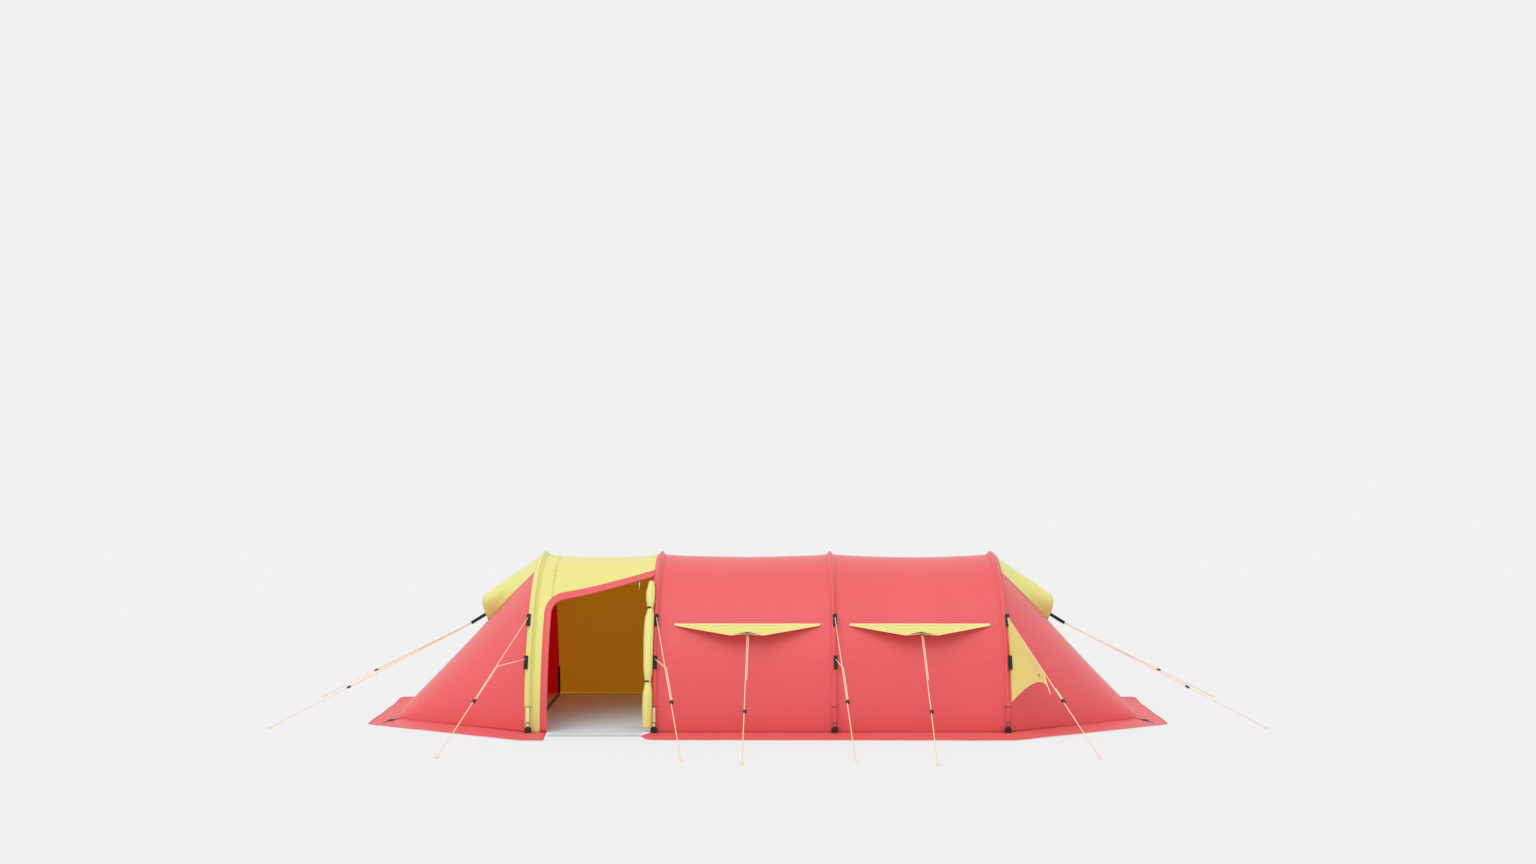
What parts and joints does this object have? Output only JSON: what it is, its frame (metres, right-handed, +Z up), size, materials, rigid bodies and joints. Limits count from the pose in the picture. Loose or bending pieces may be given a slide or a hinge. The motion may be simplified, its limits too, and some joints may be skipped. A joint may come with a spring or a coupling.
{
  "type": "tunnel tent",
  "caption": "Arched tunnel tent with a porch door, sloping vented ends, side awnings, a snow flap and guy lines with sliding runners, pitched and guyed out.",
  "frame": {"origin": "on the ground at the middle of the tent, below the middle of the ridge", "axes": "+X along the tunnel from the porch end to the cabin end, +Z up, the porch door faces -Y"},
  "size_m": [9.4682, 5.314, 1.6049],
  "materials": {
    "fly_red": "coated ripstop, satin",
    "fly_yellow": "coated ripstop, satin",
    "mesh": "fine mesh",
    "inner_cloth": "uncoated ripstop, matt",
    "floor_cloth": "coated floor cloth, satin",
    "webbing": "flat webbing",
    "strap_colour": "flat webbing",
    "cord": "braided cord",
    "elastic": "covered elastic cord",
    "pole": "anodised, satin",
    "ring": "dark plated wire",
    "plastic": "moulded, matt"
  },
  "bodies": {
    "root": {"awning_guys": "cord", "awning_patches": "webbing", "base_straps": "webbing", "corner_straps": "webbing", "door_roll": "fly_yellow", "door_ties": "elastic", "door_trim": "fly_red", "end_guys": "cord", "end_straps": "webbing", "fly_cabin_bay": "fly_red", "fly_cabin_end": "fly_red", "fly_middle_bay": "fly_red", "fly_porch_end": "fly_red", "fly_vestibule": "fly_yellow", "foot_straps": "strap_colour", "groundsheet": "floor_cloth", "guy_rings": "ring", "guy_tabs": "webbing", "guy_wing": "fly_yellow", "hanger_toggles": "plastic", "hood_toggles": "plastic", "inner_canopy": "inner_cloth", "inner_door_roll": "inner_cloth", "inner_floor": "floor_cloth", "inner_walls": "inner_cloth", "ladder_buckles": "plastic", "pole_1": "pole", "pole_2": "pole", "pole_3": "pole", "pole_4": "pole", "pole_cups": "plastic", "pole_ferrules": "pole", "pole_guys": "cord", "pole_sleeves": "fly_red", "shock_cords": "elastic", "side_awnings": "fly_yellow", "sleeve_bindings": "webbing", "snow_flap": "fly_red", "vent_hoods": "fly_yellow", "vent_mesh": "mesh"},
    "runner_pole_1_front": {"runner_pole_1_front": "plastic"},
    "runner_pole_2_front": {"runner_pole_2_front": "plastic"},
    "runner_pole_3_front": {"runner_pole_3_front": "plastic"},
    "runner_pole_4_front": {"runner_pole_4_front": "plastic"},
    "runner_awning_1_front": {"runner_awning_1_front": "plastic"},
    "runner_awning_2_front": {"runner_awning_2_front": "plastic"},
    "runner_porch_end_front": {"runner_porch_end_front": "plastic"},
    "runner_cabin_end_front": {"runner_cabin_end_front": "plastic"},
    "runner_pole_1_rear": {"runner_pole_1_rear": "plastic"},
    "runner_pole_2_rear": {"runner_pole_2_rear": "plastic"},
    "runner_pole_3_rear": {"runner_pole_3_rear": "plastic"},
    "runner_pole_4_rear": {"runner_pole_4_rear": "plastic"},
    "runner_awning_1_rear": {"runner_awning_1_rear": "plastic"},
    "runner_awning_2_rear": {"runner_awning_2_rear": "plastic"},
    "runner_porch_end_rear": {"runner_porch_end_rear": "plastic"},
    "runner_cabin_end_rear": {"runner_cabin_end_rear": "plastic"},
    "zip_slider": {"zip_slider": "ring"},
    "zip_pull": {"zip_pull": "ring"},
    "toggle_upper": {"toggle_upper": "plastic"},
    "toggle_lower": {"toggle_lower": "plastic"}
  },
  "joints": [
    {"name": "slide_pole_1_front", "type": "slide", "parent": "root", "child": "runner_pole_1_front", "axis": [-0.3076, -0.7702, -0.5588], "range_m": [-0.25, 0]},
    {"name": "slide_pole_2_front", "type": "slide", "parent": "root", "child": "runner_pole_2_front", "axis": [0.1645, -0.8193, -0.5492], "range_m": [-0.25, 0]},
    {"name": "slide_pole_3_front", "type": "slide", "parent": "root", "child": "runner_pole_3_front", "axis": [0.0605, -0.822, -0.5662], "range_m": [-0.25, 0]},
    {"name": "slide_pole_4_front", "type": "slide", "parent": "root", "child": "runner_pole_4_front", "axis": [0.3089, -0.7715, -0.5562], "range_m": [-0.09, 0]},
    {"name": "slide_awning_1_front", "type": "slide", "parent": "root", "child": "runner_awning_1_front", "axis": [-0.0142, -0.8594, -0.5111], "range_m": [-0.35, 0.45]},
    {"name": "slide_awning_2_front", "type": "slide", "parent": "root", "child": "runner_awning_2_front", "axis": [-0.0056, -0.8619, -0.507], "range_m": [-0.35, 0.45]},
    {"name": "slide_porch_end_front", "type": "slide", "parent": "root", "child": "runner_porch_end_front", "axis": [-0.8029, -0.4338, -0.4088], "range_m": [-0.4, 0]},
    {"name": "slide_cabin_end_front", "type": "slide", "parent": "root", "child": "runner_cabin_end_front", "axis": [0.8029, -0.4338, -0.4088], "range_m": [-0.4, 0]},
    {"name": "slide_pole_1_rear", "type": "slide", "parent": "root", "child": "runner_pole_1_rear", "axis": [-0.3076, 0.7702, -0.5588], "range_m": [-0.25, 0]},
    {"name": "slide_pole_2_rear", "type": "slide", "parent": "root", "child": "runner_pole_2_rear", "axis": [0.1645, 0.8193, -0.5492], "range_m": [-0.25, 0]},
    {"name": "slide_pole_3_rear", "type": "slide", "parent": "root", "child": "runner_pole_3_rear", "axis": [0.0605, 0.822, -0.5662], "range_m": [-0.25, 0]},
    {"name": "slide_pole_4_rear", "type": "slide", "parent": "root", "child": "runner_pole_4_rear", "axis": [0.3089, 0.7715, -0.5562], "range_m": [-0.25, 0]},
    {"name": "slide_awning_1_rear", "type": "slide", "parent": "root", "child": "runner_awning_1_rear", "axis": [-0.0142, 0.8594, -0.5111], "range_m": [-0.35, 0.45]},
    {"name": "slide_awning_2_rear", "type": "slide", "parent": "root", "child": "runner_awning_2_rear", "axis": [-0.0056, 0.8619, -0.507], "range_m": [-0.35, 0.45]},
    {"name": "slide_porch_end_rear", "type": "slide", "parent": "root", "child": "runner_porch_end_rear", "axis": [-0.8029, 0.4338, -0.4088], "range_m": [-0.4, 0]},
    {"name": "slide_cabin_end_rear", "type": "slide", "parent": "root", "child": "runner_cabin_end_rear", "axis": [0.8029, 0.4338, -0.4088], "range_m": [-0.4, 0]},
    {"name": "door_zip", "type": "slide", "parent": "root", "child": "zip_slider", "axis": [-0.9488, -0.2313, -0.2153], "range_m": [0, 0.527]},
    {"name": "zip_pull_hinge", "type": "hinge", "parent": "zip_slider", "child": "zip_pull", "pos_m": [-1.24, -0.58779, 1.35206], "axis": [-1, 0, 0], "range_deg": [-10, 100]},
    {"name": "toggle_upper_turn", "type": "hinge", "parent": "root", "child": "toggle_upper", "pos_m": [-1.121, -0.89251, 1.14898], "axis": [0, -0.8148, 0.5797], "range_deg": [-90, 90]},
    {"name": "toggle_lower_turn", "type": "hinge", "parent": "root", "child": "toggle_lower", "pos_m": [-1.121, -1.18108, 0.48607], "axis": [0, -0.9752, 0.2213], "range_deg": [-90, 90]}
  ]
}
